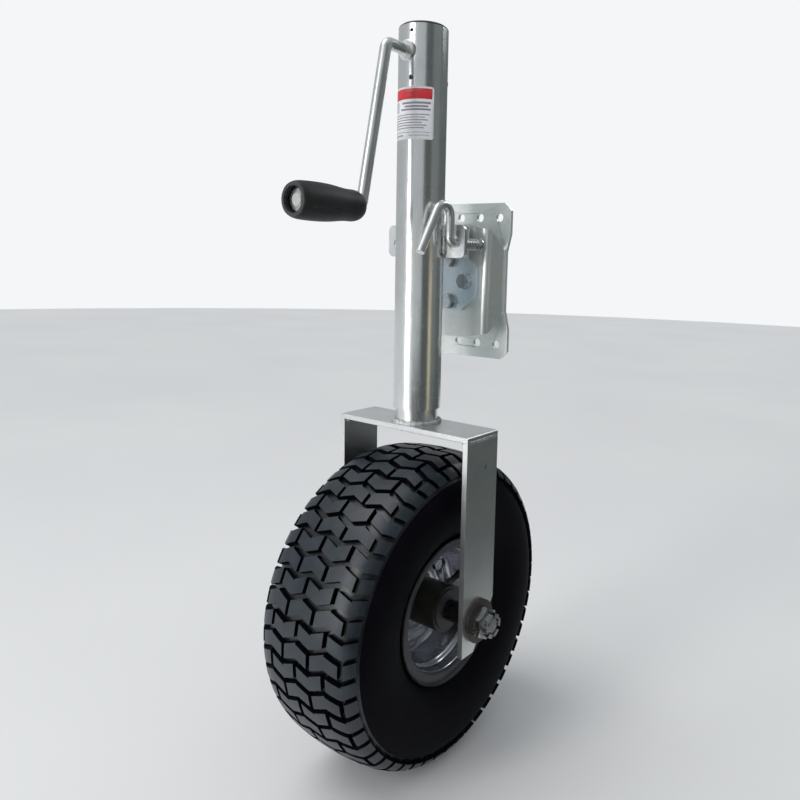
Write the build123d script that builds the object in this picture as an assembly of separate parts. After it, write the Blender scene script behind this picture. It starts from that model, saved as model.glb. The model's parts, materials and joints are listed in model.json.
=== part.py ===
from build123d import *
import os
from math import hypot

# Swing-up trailer tongue jack, in millimetres.
# Origin: centre of the mounting plate's rear face. +Y points to the trailer frame, +Z up,
# X runs along the wheel's axle.

# ---------------------------------------------------------------- driving dimensions
# mounting bracket
plate_width = 124.0
plate_height = 198.0
plate_thickness = 5.0
plate_corner = 10.0            # cut corners
waist_half_width = 56.5        # plate narrows beside the channel
waist_half_height = 37.0
shoulder_half_height = 60.0    # where the waist's slopes end
hole_pitch = 30.0              # four holes to a row
hole_row_gap = 161.0
mount_hole_radius = 5.25

channel_half_width = 54.5
channel_front = -42.0          # front face of the channel's web
channel_sheet = 4.5
channel_crown = 70.0           # half height of the web's middle
channel_side = 63.0            # half height of the web at its sides
channel_tail = 39.5            # half height of the sides at the plate
pivot_bore_radius = 36.0

# pivot sandwich
axial_play = 0.1
pivot_plate_thickness = 5.5
pivot_plate_half_width = 41.0
pivot_plate_half_height = 37.0
retainer_radius = 45.0
retainer_thickness = 5.0
pivot_bolt_offset = 26.0
bolt_radius = 5.0
bolt_head_flats = 17.0
bolt_head_height = 6.4

# lock: pin axis stands at 45 degrees on the pivot's circle
lock_offset = 44.5
lock_hole_radius = 5.5
pin_radius = 5.0

# tubes
tube_y = -106.0
tube_radius = 28.6
tube_bore_radius = 25.5
tube_top = 285.0
tube_bottom = -152.5
leg_tube_radius = 25.4
leg_tube_bore_radius = 22.4
leg_tube_top = 205.0

# saddle that carries the tube
saddle_sheet = 5.0
saddle_front = -96.0
saddle_low = 28.0
saddle_high = 66.0
ear_half_width = 58.5
ear_hole_radius = 6.0

# crank
crank_z = 256.5
rod_radius = 6.35
arm_top_y = -168.0
grip_z = 79.0
arm_bottom_y = -204.0
grip_inner_y = -209.5
grip_outer_y = -297.0

# bevel gears: both cones meet where the crank's axis crosses the screw's; sizes at the large end
pinion_teeth = 10
crown_teeth = 20
cone_far = 21.0                # distance of the large end from the screw's axis
cone_near = 13.0
pinion_pitch_radius = 10.5
tooth_width = 2.2
addendum = 1.3
dedendum = 1.8
crown_back = 239.0
crown_front = 248.0

# screw and nut
screw_radius = 8.0
screw_bottom = -140.0
nut_top = 195.0
nut_bottom = 170.0

# fork and axle
fork_top = -171.0
fork_sheet = 6.4
fork_half_width = 100.0
fork_half_depth = 30.0
fork_bottom = -433.0
axle_z = -396.5
axle_radius = 9.5
washer_radius = 25.5
washer_thickness = 4.0

# wheel
tyre_radius = 190.5
rim_sheet = 2.5
hub_half_length = 55.0
hub_radius = 28.0
hub_bore_radius = 20.0
bolt_circle_radius = 47.0
valve_angle = -80.0

tube_axis = Axis((0, tube_y, 0), (0, 0, 1))
wheel_axis = Axis((0, tube_y, axle_z), (1, 0, 0))
pivot_bolts_xz = [
    (pivot_bolt_offset, 0), (-pivot_bolt_offset, 0), (0, pivot_bolt_offset), (0, -pivot_bolt_offset),
]


# ---------------------------------------------------------------- helpers
def block(x0, x1, y0, y1, z0, z1):
    return Pos((x0 + x1) / 2, (y0 + y1) / 2, (z0 + z1) / 2) * Box(x1 - x0, y1 - y0, z1 - z0)


def rod_x(radius, x0, x1, y=tube_y, z=axle_z):
    return Pos((x0 + x1) / 2, y, z) * Rot(0, 90, 0) * Cylinder(radius, abs(x1 - x0))


def rod_y(radius, y0, y1, x=0.0, z=0.0):
    return Pos(x, (y0 + y1) / 2, z) * Rot(90, 0, 0) * Cylinder(radius, abs(y1 - y0))


def rod_z(radius, z0, z1, x=0.0, y=tube_y):
    return Pos(x, y, (z0 + z1) / 2) * Cylinder(radius, abs(z1 - z0))


def hex_y(flats, y0, y1, x=0.0, z=0.0):
    face = RegularPolygon(flats / 2, 6, major_radius=False)
    return Pos(x, y1, z) * Rot(90, 0, 0) * extrude(face, y1 - y0)


def hex_x(flats, x0, x1, y=tube_y, z=axle_z):
    face = RegularPolygon(flats / 2, 6, major_radius=False)
    return Pos(x0, y, z) * Rot(0, 90, 0) * extrude(face, x1 - x0)


def prism_y(points_xz, y0, y1):
    face = make_face(Polyline(*[(x, y0, z) for x, z in points_xz], close=True))
    return extrude(face, y1 - y0, dir=(0, 1, 0))


def prism_x(points_yz, x0, x1):
    face = make_face(Polyline(*[(x0, y, z) for y, z in points_yz], close=True))
    return extrude(face, x1 - x0, dir=(1, 0, 0))


def mirrored(points):
    """A right-hand outline, listed from top to bottom, closed by its mirror image."""
    return points + [(-x, z) for x, z in reversed(points)]


def both_sides(shape):
    return shape + mirror(shape, Plane.YZ)


def turned_x(points_xr):
    """Solid of revolution about the axle from an (x, radius) outline."""
    face = make_face(Polyline(*[(x, tube_y, axle_z + r) for x, r in points_xr], close=True))
    return revolve(face, wheel_axis, 360)


def turned_z(points_rz):
    """Solid of revolution about the tube's axis from a (radius, z) outline."""
    face = make_face(Polyline(*[(r, tube_y, z) for r, z in points_rz], close=True))
    return revolve(face, tube_axis, 360)


def sheet_outline(path, thickness):
    """Closed outline of a bent sheet: both offsets of its middle line, mitred at the bends."""
    normals = []
    for (xa, ya), (xb, yb) in zip(path, path[1:]):
        length = hypot(xb - xa, yb - ya)
        normals.append(((ya - yb) / length, (xb - xa) / length))
    sides = ([], [])
    for i, (x, y) in enumerate(path):
        before = normals[max(i - 1, 0)]
        after = normals[min(i, len(normals) - 1)]
        scale = 1 + before[0] * after[0] + before[1] * after[1]
        dx = (before[0] + after[0]) / scale * thickness / 2
        dy = (before[1] + after[1]) / scale * thickness / 2
        sides[0].append((x + dx, y + dy))
        sides[1].append((x - dx, y - dy))
    return sides[0] + sides[1][::-1]


def around_tube(shape, angle):
    return Pos(0, tube_y, 0) * Rot(0, 0, angle) * Pos(0, -tube_y, 0) * shape


def around_axle(shape, angle):
    return Pos(0, tube_y, axle_z) * Rot(angle, 0, 0) * Pos(0, -tube_y, -axle_z) * shape


# ---------------------------------------------------------------- mounting bracket
def mounting_plate():
    half_width = plate_width / 2
    half_height = plate_height / 2
    right = [
        (half_width - plate_corner, half_height),
        (half_width, half_height - plate_corner),
        (half_width, shoulder_half_height),
        (waist_half_width, waist_half_height),
    ]
    right += [(x, -z) for x, z in reversed(right)]
    plate = prism_y(mirrored(right), -plate_thickness, 0)
    for row in (-1, 1):
        for column in (-1.5, -0.5, 0.5, 1.5):
            x, z = column * hole_pitch, row * hole_row_gap / 2
            plate -= rod_y(mount_hole_radius, -plate_thickness - 1, 1, x, z)
    return plate


def pivot_channel():
    """U-shaped channel: web in front with the pivot's bore, sides running back to the plate."""
    w, s = channel_half_width, channel_sheet
    outer = block(-w, w, channel_front, -plate_thickness, -80, 80)
    outer = fillet(outer.edges().filter_by(Axis.Z).group_by(Axis.Y)[0], 9)
    inner = block(-w + s, w - s, channel_front + s, 0, -81, 81)
    inner = fillet(inner.edges().filter_by(Axis.Z).group_by(Axis.Y)[0], 4.5)
    channel = outer - inner
    front_view = mirrored([
        (26, channel_crown), (w + 1, channel_side), (w + 1, -channel_side), (26, -channel_crown),
    ])
    channel &= prism_y(front_view, channel_front - 1, 0)
    side_view = [
        (channel_front - 1, channel_crown + 1), (channel_front + 5, channel_crown + 1),
        (channel_front + 5, channel_side), (-plate_thickness, channel_tail),
        (-plate_thickness, -channel_tail), (channel_front + 5, -channel_side),
        (channel_front + 5, -channel_crown - 1), (channel_front - 1, -channel_crown - 1),
    ]
    channel &= prism_x(side_view, -w - 1, w + 1)
    channel -= rod_y(pivot_bore_radius, channel_front - 1, channel_front + s + 1)
    for x in (-lock_offset, lock_offset):
        channel -= rod_y(lock_hole_radius, channel_front - 1, channel_front + s + 1, x, lock_offset)
    return channel


def channel_welds():
    """Fillet bead down the inside corner of each side, where it meets the plate."""
    w = channel_half_width - channel_sheet
    y = -plate_thickness
    corner = [(w, y), (w - 5, y), (w - 3.2, y - 3.2), (w, y - 5)]
    face = make_face(Polyline(*[(x, y, -channel_tail + 2) for x, y in corner], close=True))
    return both_sides(extrude(face, 2 * channel_tail - 4, dir=(0, 0, 1)))


# ---------------------------------------------------------------- pivot sandwich, turns with the jack
pivot_plate_back = channel_front - axial_play
pivot_plate_front = pivot_plate_back - pivot_plate_thickness
retainer_front = channel_front + channel_sheet + axial_play
retainer_back = retainer_front + retainer_thickness


def pivot_plate():
    """Eight-sided plate in front of the web, with a tongue that rises behind the saddle."""
    w, h = pivot_plate_half_width, pivot_plate_half_height
    right = [(18, h), (w, 17), (w, -17), (18, -h)]
    plate = prism_y(mirrored(right), pivot_plate_front, pivot_plate_back)
    plate = fillet(plate.edges().filter_by(Axis.Y), 6)
    plate += block(-18, 18, pivot_plate_front, pivot_plate_back, h - 8, 62)
    for x, z in pivot_bolts_xz:
        plate -= rod_y(bolt_radius, pivot_plate_front - 1, pivot_plate_back + 1, x, z)
    return plate


def pivot_disc():
    """Spacer disc that turns in the web's bore."""
    disc = rod_y(pivot_bore_radius - 0.06, pivot_plate_back, retainer_front)
    for x, z in pivot_bolts_xz:
        disc -= rod_y(bolt_radius, pivot_plate_back - 1, retainer_front + 1, x, z)
    return disc


def pivot_retainer():
    ring = rod_y(retainer_radius, retainer_front, retainer_back)
    for x, z in pivot_bolts_xz:
        ring -= rod_y(bolt_radius, retainer_front - 1, retainer_back + 1, x, z)
    return ring


def pivot_bolts():
    seat = pivot_plate_front - 2
    bolts = []
    for x, z in pivot_bolts_xz:
        head = hex_y(bolt_head_flats, seat - bolt_head_height, seat, x, z)
        head &= Pos(x, seat - bolt_head_height / 2, z) * Rot(90, 0, 0) * chamfer(
            Cylinder(bolt_head_flats * 0.577, bolt_head_height).edges().sort_by(Axis.Z)[-1], 1.0)
        bolts.append(head + rod_y(bolt_radius - 0.05, seat, retainer_back + 10, x, z))
    return Compound(bolts)


def pivot_washers():
    seat = pivot_plate_front
    return Compound([
        rod_y(10, seat - 2, seat, x, z) - rod_y(bolt_radius, seat - 3, seat + 1, x, z)
        for x, z in pivot_bolts_xz
    ])


def pivot_nuts():
    return Compound([
        hex_y(bolt_head_flats, retainer_back, retainer_back + 8, x, z)
        - rod_y(bolt_radius, retainer_back - 1, retainer_back + 9, x, z)
        for x, z in pivot_bolts_xz
    ])


# ---------------------------------------------------------------- saddle and tube
def saddle():
    """Hat-section saddle: tube between its walls, an ear on each side for the lock pin."""
    s = saddle_sheet
    wall = tube_radius + 0.05
    back = pivot_plate_front
    hat = block(-wall - s, wall + s, saddle_front, back, saddle_low, saddle_high)
    hat = fillet(hat.edges().filter_by(Axis.Z).group_by(Axis.Y)[-1], 8)
    hat -= block(-wall, wall, saddle_front - 1, back - s, saddle_low - 1, saddle_high + 1)
    ears = block(-ear_half_width, ear_half_width, saddle_front, saddle_front + s, saddle_low, saddle_high)
    ears = fillet(ears.edges().filter_by(Axis.Y), 7)
    ears -= block(-wall, wall, saddle_front - 1, saddle_front + s + 1, saddle_low - 1, saddle_high + 1)
    shape = hat + ears
    shape -= block(-24, 24, back - s - 1, back + 1, saddle_low - 1, 38)
    shape -= rod_y(ear_hole_radius, saddle_front - 1, saddle_front + s + 1, -lock_offset, lock_offset)
    shape -= rod_y(8.5, saddle_front - 1, saddle_front + s + 1, lock_offset, lock_offset)
    return shape


def saddle_welds():
    """Beads in the grooves between the tube and the saddle's walls."""
    bead = rod_z(3.6, saddle_low + 1, saddle_high - 1, tube_radius + 1.2, saddle_front - 0.6)
    bead -= rod_z(tube_radius, saddle_low, saddle_high)
    bead -= block(tube_radius + 0.05, 40, saddle_front, saddle_front + 9, saddle_low, saddle_high)
    bead -= block(0, tube_radius + 0.05, saddle_front, saddle_front + 9, saddle_low, saddle_high)
    return both_sides(bead)


def tongue_welds():
    """Bead across the top of the pivot plate's tongue, on the saddle's back."""
    y = pivot_plate_front
    profile = [(y, 62), (pivot_plate_back, 62), (y + 2.5, 64), (y, 65.5)]
    return prism_x(profile, -16, 16)


def outer_tube():
    tube = rod_z(tube_radius, tube_bottom, tube_top) - rod_z(tube_bore_radius, tube_bottom - 1, tube_top + 1)
    tube -= rod_y(11.25, tube_y - 35, tube_y - 15, 0, crank_z)
    tube -= around_tube(rod_y(2.0, tube_y - 35, tube_y - 20, 0, 277.4), 12.5)
    for angle in (12.5, 132.5, 252.5):
        tube -= around_tube(rod_y(2.6, tube_y - 35, tube_y - 20, 0, 227.0), angle)
    return tube


def top_cap():
    """Push-in cap: thin skirt inside the tube, low crown that covers the rim."""
    return turned_z([
        (0, tube_top), (tube_bore_radius - 2.5, tube_top), (tube_bore_radius - 2.5, tube_top - 14),
        (tube_bore_radius, tube_top - 14), (tube_bore_radius, tube_top), (27.6, tube_top),
        (27.9, tube_top + 1.2), (25.5, tube_top + 3.0), (16, tube_top + 3.8), (0, tube_top + 4.0),
    ])


def label():
    """Adhesive data label wrapped round the front of the tube."""
    ring = rod_z(tube_radius + 0.2, 159.5, 217.0) - rod_z(tube_radius, 159, 218)
    wedge = make_face(Polyline((0, tube_y, 150), (-200, tube_y - 85, 150), (-200, tube_y - 300, 150),
                               (200, tube_y - 300, 150), (200, tube_y - 85, 150), close=True))
    return ring & extrude(wedge, 80, dir=(0, 0, 1))


def crank_bush():
    bush = rod_y(11.25, tube_y - 31.2, tube_y - 22.2, 0, crank_z)
    bush = chamfer(bush.edges().group_by(Axis.Y)[0], 1.0)
    return bush - rod_y(rod_radius + 0.05, tube_y - 40, tube_y - 10, 0, crank_z)


def bearing_plate():
    """Disc that carries the screw's thrust, held in the tube by three plugs."""
    return rod_z(tube_bore_radius, 220, 230) - rod_z(screw_radius + 0.06, 219, 231)


def bearing_plugs():
    plug = rod_y(2.6, tube_y - 28.9, tube_y - 25.6, 0, 227.0) - rod_z(tube_bore_radius, 220, 232)
    return Compound([around_tube(plug, angle) for angle in (12.5, 132.5, 252.5)])


def thrust_washer(z0, z1):
    return rod_z(17, z0, z1) - rod_z(screw_radius + 0.06, z0 - 1, z1 + 1)


def thrust_balls():
    ball = Pos(12.5, tube_y, 234.5) * Sphere(1.97)
    return Compound([around_tube(ball, 30 * i) for i in range(12)])


# ---------------------------------------------------------------- lock pin
pin_rest_tip = channel_front - 0.3
hook_y = -105.5
hook_apex = (hook_y, 121.8)    # where the hook's two straight stretches would meet
hook_end = (-158.0, 33.0)


def pin_bush():
    bush = rod_y(8.5, saddle_front + 1.6, saddle_front + 13, lock_offset, lock_offset)
    return bush - rod_y(pin_radius + 0.05, saddle_front, saddle_front + 15, lock_offset, lock_offset)


def pull_pin():
    """Round bar bent up in front of the ear into a hook to pull by."""
    x, z = lock_offset, lock_offset
    foot = FilletPolyline((x, -60, z), (x, hook_y, z), (x, hook_y, 60), radius=8.0)
    hook = FilletPolyline((x, hook_y, 60), (x, *hook_apex), (x, *hook_end), radius=13.0)
    start = Plane(origin=(x, -60, z), z_dir=(0, -1, 0))
    bar = sweep(start * Circle(pin_radius), Wire(foot.edges() + hook.edges()))
    tip = rod_y(pin_radius, -60, pin_rest_tip, x, z)
    tip = chamfer(tip.edges().group_by(Axis.Y)[-1], 1.2)
    return bar + tip


def pin_collar():
    collar = rod_y(8.5, -51, -48, lock_offset, lock_offset)
    return collar - rod_y(pin_radius, -52, -47, lock_offset, lock_offset)


def pin_spring():
    """Compression spring between the bush and the collar."""
    y0, y1 = saddle_front + 13.9, -51.9
    turns = 7
    helix = Helix(pitch=(y1 - y0) / turns, height=y1 - y0, radius=6.4)
    section = Plane(origin=helix @ 0, z_dir=helix % 0) * Circle(0.8)
    spring = sweep(section, helix, is_frenet=True)
    return Pos(lock_offset, y0, lock_offset) * Rot(-90, 0, 0) * spring


# ---------------------------------------------------------------- crank and grip
def crank():
    """Round bar in a flat Z: spindle through the tube, arm, and the grip's spindle."""
    y0 = tube_y - cone_far - 1.1
    path = FilletPolyline((0, y0, crank_z), (0, arm_top_y, crank_z), (0, arm_bottom_y, grip_z),
                          (0, grip_outer_y + 4.5, grip_z), radius=8.0)
    bar = sweep(Plane(origin=(0, y0, crank_z), z_dir=(0, -1, 0)) * Circle(rod_radius), path)
    return bar + rod_y(4.0, y0, tube_y - cone_near + 2, 0, crank_z)


def grip():
    """Barrel-shaped grip with a dished outer end and four grooves along it."""
    length = grip_inner_y - grip_outer_y
    outline = [
        (13.5, 0), (15.0, 0.03), (16.6, 0.2), (18.6, 0.45),
        (19.4, 0.7), (19.0, 0.88), (17.8, 0.97), (16.6, 1.0),
    ]
    points = [(0, grip_inner_y - share * length, grip_z + r) for r, share in outline]
    edge = Spline(*points)
    close = Polyline(points[-1], (0, grip_outer_y, grip_z), (0, grip_inner_y, grip_z), points[0])
    body = revolve(make_face(edge + close), Axis((0, 0, grip_z), (0, 1, 0)), 360)
    body -= rod_y(13.2, grip_outer_y - 1, grip_outer_y + 8, 0, grip_z)
    body -= rod_y(rod_radius + 0.08, grip_outer_y, grip_inner_y + 1, 0, grip_z)
    body -= rod_y(8.2, grip_inner_y - 2.5, grip_inner_y + 1, 0, grip_z)
    middle = (grip_inner_y + grip_outer_y) / 2
    groove = Pos(0, 0, 20.2) * Box(1.6, length - 22, 3)
    for angle in (20, 110, 200, 290):
        body -= Pos(0, middle, grip_z) * Rot(0, angle, 0) * groove
    return body


def grip_washer():
    y = grip_outer_y + 6.0
    return rod_y(11.0, y, y + 1.7, 0, grip_z) - rod_y(rod_radius, y - 1, y + 3, 0, grip_z)


def cone_tooth(along, across, up, low, high):
    """Tooth that shrinks towards the point where the gear axes cross; low and high hold at the large end."""
    faces = []
    for distance in (cone_near, cone_far):
        k = distance / cone_far
        half = tooth_width / 2 * k
        corners = [(-half, low * k), (half, low * k), (half, high * k), (-half, high * k)]
        apex = Vector(0, tube_y, crank_z)
        faces.append(make_face(Polyline(
            *[apex + along * distance + across * side + up * rise for side, rise in corners], close=True)))
    return loft(faces)


def cone_disc(near, far):
    """Solid cone frustum round the crank's axis, from its radius at each end."""
    outline = [(0, cone_near), (near, cone_near), (far, cone_far), (0, cone_far)]
    face = make_face(Polyline(*[(0, tube_y - y, crank_z + r) for r, y in outline], close=True))
    return revolve(face, Axis((0, 0, crank_z), (0, 1, 0)), 360)


def pinion():
    """Small bevel pinion on the crank's inner end."""
    root = pinion_pitch_radius - dedendum
    gear = cone_disc(root * cone_near / cone_far, root)
    tip = pinion_pitch_radius + addendum
    tooth = cone_tooth(Vector(0, -1, 0), Vector(1, 0, 0), Vector(0, 0, 1), root - 0.4, tip)
    for i in range(pinion_teeth):
        turn = Pos(0, 0, crank_z) * Rot(0, 360 / pinion_teeth * (i + 0.5), 0) * Pos(0, 0, -crank_z)
        gear += turn * tooth
    return gear - rod_y(4.0, tube_y - 30, tube_y - 5, 0, crank_z)


# ---------------------------------------------------------------- screw
def crown_gear():
    """Large bevel wheel on top of the screw, cross-pinned to it."""
    root = -(pinion_pitch_radius + dedendum)
    tip = -(pinion_pitch_radius - addendum)
    slope = root / cone_far
    rim = cone_far + 1
    gear = turned_z([(0, crown_back), (rim, crown_back), (rim, crank_z + slope * rim),
                     (14.0, crank_z + slope * 14.0), (0, crank_z + slope * 14.0)])
    tooth = cone_tooth(Vector(1, 0, 0), Vector(0, 1, 0), Vector(0, 0, 1), root - 0.5, tip)
    for i in range(crown_teeth):
        gear += around_tube(tooth, 360 / crown_teeth * i)
    gear -= rod_z(screw_radius, crown_back - 1, crown_front + 9)
    return gear - rod_x(1.5, 0, 30, tube_y, crown_back + 2)


def crown_pin():
    return rod_x(1.5, screw_radius, cone_far + 1, tube_y, crown_back + 2)


def lead_screw():
    """Screw with a plain stand-in for its thread, and a groove for the snap ring."""
    return turned_z([(0, screw_bottom), (screw_radius - 1, screw_bottom), (screw_radius, screw_bottom + 1),
                     (screw_radius, 216), (screw_radius - 1, 216), (screw_radius - 1, 218),
                     (screw_radius, 218), (screw_radius, crown_front), (0, crown_front)])


def snap_ring():
    return rod_z(11, 216, 218) - rod_z(screw_radius - 1, 215, 219)


# ---------------------------------------------------------------- lift nut, leg and fork
def lift_nut():
    nut = rod_z(leg_tube_bore_radius - 0.08, nut_bottom, nut_top)
    return nut - rod_z(screw_radius + 0.06, nut_bottom - 1, nut_top + 1)


def nut_ring(z0, z1):
    return rod_z(leg_tube_bore_radius, z0, z1) - rod_z(13, z0 - 1, z1 + 1)


def leg_tube():
    tube = rod_z(leg_tube_radius, fork_top, leg_tube_top)
    return tube - rod_z(leg_tube_bore_radius, fork_top - 1, leg_tube_top + 1)


def leg_weld():
    r = leg_tube_radius
    return turned_z([(r, fork_top), (r + 5.5, fork_top), (r + 4.6, fork_top + 2.4),
                     (r + 2.4, fork_top + 4.6), (r, fork_top + 5.5)])


def fork_plate():
    y0, y1 = tube_y - fork_half_depth, tube_y + fork_half_depth
    plate = block(-fork_half_width, fork_half_width, y0, y1, fork_top - fork_sheet, fork_top)
    return chamfer(plate.edges().filter_by(Axis.Y).group_by(Axis.Z)[-1], 1.2)


def fork_leg(side):
    """Flat bar leg, its lower back corner cut away beside the axle."""
    y0, y1 = tube_y - fork_half_depth, tube_y + fork_half_depth
    top = fork_top - fork_sheet
    outline = [(y0, top), (y1, top), (y1, fork_bottom + 56), (y0 + 22, fork_bottom), (y0, fork_bottom)]
    leg = prism_x(outline, fork_half_width - fork_sheet, fork_half_width)
    leg -= rod_x(axle_radius + 0.2, 80, 120)
    return leg if side > 0 else mirror(leg, Plane.YZ)


def fork_welds():
    """Beads in the inner corners between the plate and the legs."""
    x, z = fork_half_width - fork_sheet, fork_top - fork_sheet
    outline = [(x, z), (x - 6.5, z), (x - 3.9, z - 1.9), (x - 1.9, z - 3.9), (x, z - 6.5)]
    return both_sides(prism_y(outline, tube_y - 28, tube_y + 28))


def axle_bolt():
    face = fork_half_width + washer_thickness
    bolt = rod_x(axle_radius, -face, face + 18) + hex_x(34, -face - 12, -face)
    return chamfer(bolt.edges().filter_by(GeomType.CIRCLE).sort_by(Axis.X)[-1], 1.5)


def axle_washers():
    x0, x1 = fork_half_width, fork_half_width + washer_thickness
    ring = rod_x(washer_radius, x0, x1) - rod_x(axle_radius, x0 - 1, x1 + 1)
    return both_sides(chamfer(ring.edges().filter_by(GeomType.CIRCLE).sort_by(Axis.X)[-1:], 0.6))


def axle_nut():
    """Castle nut: hexagon with a smaller slotted collar."""
    x0 = fork_half_width + washer_thickness
    nut = hex_x(34, x0, x0 + 11)
    cone = turned_x([(x0 - 1, 0), (x0 - 1, 20), (x0 + 8.5, 20), (x0 + 12, 16), (x0 + 12, 0)])
    nut = (nut & cone) + rod_x(14.2, x0 + 11, x0 + 19)
    nut -= rod_x(axle_radius, x0 - 1, x0 + 20)
    slot = block(x0 + 14, x0 + 20, tube_y - 20, tube_y + 20, axle_z - 2, axle_z + 2)
    for i in range(3):
        nut -= around_axle(slot, 60 * i + 30)
    return nut


def axle_sleeves():
    sleeve = rod_x(12.5, 57.2, fork_half_width - fork_sheet) - rod_x(axle_radius, 50, 100)
    return both_sides(sleeve)


# ---------------------------------------------------------------- wheel
rim_path = [
    (1.3, 28.2), (1.3, 36), (7.0, 40), (7.0, 53), (2.0, 57), (2.0, 63), (9.0, 69.5),
    (38, 69.5), (43, 75), (55.6, 75.2), (57.0, 78), (57.2, 86), (59.5, 89), (62.5, 88.5),
]


def rim_half(side):
    """Pressed half rim: hub flange, stepped disc, well, bead seat and rolled flange."""
    half = turned_x(sheet_outline(rim_path, rim_sheet))
    for i in range(4):
        half -= around_axle(rod_x(4.2, -2, 12, z=axle_z + bolt_circle_radius), 90 * i + 45)
    if side > 0:
        half -= around_axle(rod_z(5.5, axle_z + 60, axle_z + 80, 22), valve_angle)
        return half
    return mirror(half, Plane.YZ)


def hub_tube():
    return rod_x(hub_radius, -hub_half_length, hub_half_length) - rod_x(hub_bore_radius, -60, 60)


def wheel_bearings():
    bush = rod_x(hub_bore_radius, 37, 55) + rod_x(24, 55, 57)
    return both_sides(bush - rod_x(axle_radius + 0.06, 30, 60))


def rim_bolts():
    z = axle_z + bolt_circle_radius
    bolt = hex_x(13, 8.4, 13.6, z=z) + rod_x(4.0, -17, 8.4, z=z)
    return Compound([around_axle(bolt, 90 * i + 45) for i in range(4)])


def rim_nuts():
    z = axle_z + bolt_circle_radius
    nut = hex_x(13, -14.8, -8.4, z=z) - rod_x(4.0, -20, 0, z=z)
    return Compound([around_axle(nut, 90 * i + 45) for i in range(4)])


def tyre():
    """Low-pressure turf tyre: round carcass with three grooves round the tread."""
    outside = [(54.2, 77.0), (55.0, 86), (60, 93), (68.5, 106), (74.2, 124), (75.5, 143),
               (73.0, 162), (67.5, 175), (60, 183), (44, 187.6), (22, 189.8), (0, tyre_radius)]
    inside = [(0, 179), (30, 178), (52, 172), (62, 160), (66, 142),
              (62, 118), (52, 98), (45, 86), (44, 77.0)]
    right_out = Spline(*[(x, tube_y, axle_z + r) for x, r in outside])
    right_in = Spline(*[(x, tube_y, axle_z + r) for x, r in inside])
    crown = Line(right_out @ 1, right_in @ 0)
    bead = Line(right_in @ 1, right_out @ 0)
    half = revolve(make_face(right_out + crown + right_in + bead), wheel_axis, 360)
    for x in (15.0, 43.0):
        half -= rod_x(tyre_radius + 5, x - 2.5, x + 2.5) - rod_x(182.5, x - 4, x + 4)
    return both_sides(half)


def valve_stem():
    stem = rod_z(5.4, axle_z + 66.5, axle_z + 74.0, 22) + rod_z(4.0, axle_z + 50, axle_z + 66.5, 22)
    return around_axle(stem, valve_angle)


def valve_cap():
    cap = chamfer(rod_z(4.6, axle_z + 38, axle_z + 50, 22).edges().group_by(Axis.Z)[0], 0.8)
    return around_axle(cap, valve_angle)


# ---------------------------------------------------------------- nodes
nodes = {
    "mounting_plate": mounting_plate(),
    "pivot_channel": pivot_channel(),
    "channel_welds": channel_welds(),
    "pivot_plate": pivot_plate(),
    "pivot_disc": pivot_disc(),
    "pivot_retainer": pivot_retainer(),
    "pivot_bolts": pivot_bolts(),
    "pivot_washers": pivot_washers(),
    "pivot_nuts": pivot_nuts(),
    "saddle": saddle(),
    "saddle_welds": saddle_welds(),
    "tongue_weld": tongue_welds(),
    "outer_tube": outer_tube(),
    "top_cap": top_cap(),
    "label": label(),
    "crank_bush": crank_bush(),
    "bearing_plate": bearing_plate(),
    "bearing_plugs": bearing_plugs(),
    "lower_thrust_washer": thrust_washer(230.0, 232.5),
    "thrust_balls": thrust_balls(),
    "upper_thrust_washer": thrust_washer(236.5, crown_back),
    "pin_bush": pin_bush(),
    "pull_pin": pull_pin(),
    "pin_collar": pin_collar(),
    "pin_spring": pin_spring(),
    "crank": crank(),
    "pinion": pinion(),
    "grip": grip(),
    "grip_washer": grip_washer(),
    "lead_screw": lead_screw(),
    "crown_gear": crown_gear(),
    "crown_pin": crown_pin(),
    "snap_ring": snap_ring(),
    "lift_nut": lift_nut(),
    "nut_seat_ring": nut_ring(164.0, nut_bottom - 0.2),
    "nut_cap_ring": nut_ring(nut_top + 0.2, nut_top + 5),
    "leg_tube": leg_tube(),
    "leg_weld": leg_weld(),
    "fork_plate": fork_plate(),
    "fork_leg_right": fork_leg(1),
    "fork_leg_left": fork_leg(-1),
    "fork_welds": fork_welds(),
    "axle_bolt": axle_bolt(),
    "axle_washers": axle_washers(),
    "axle_nut": axle_nut(),
    "axle_sleeves": axle_sleeves(),
    "rim_half_right": rim_half(1),
    "rim_half_left": rim_half(-1),
    "hub_tube": hub_tube(),
    "wheel_bearings": wheel_bearings(),
    "rim_bolts": rim_bolts(),
    "rim_nuts": rim_nuts(),
    "tyre": tyre(),
    "valve_stem": valve_stem(),
    "valve_cap": valve_cap(),
}

os.makedirs("parts", exist_ok=True)
for name, shape in nodes.items():
    export_step(shape, f"parts/{name}.step")
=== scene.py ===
import bpy
import bmesh
import json
import math
from mathutils import Matrix, Vector, noise


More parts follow.
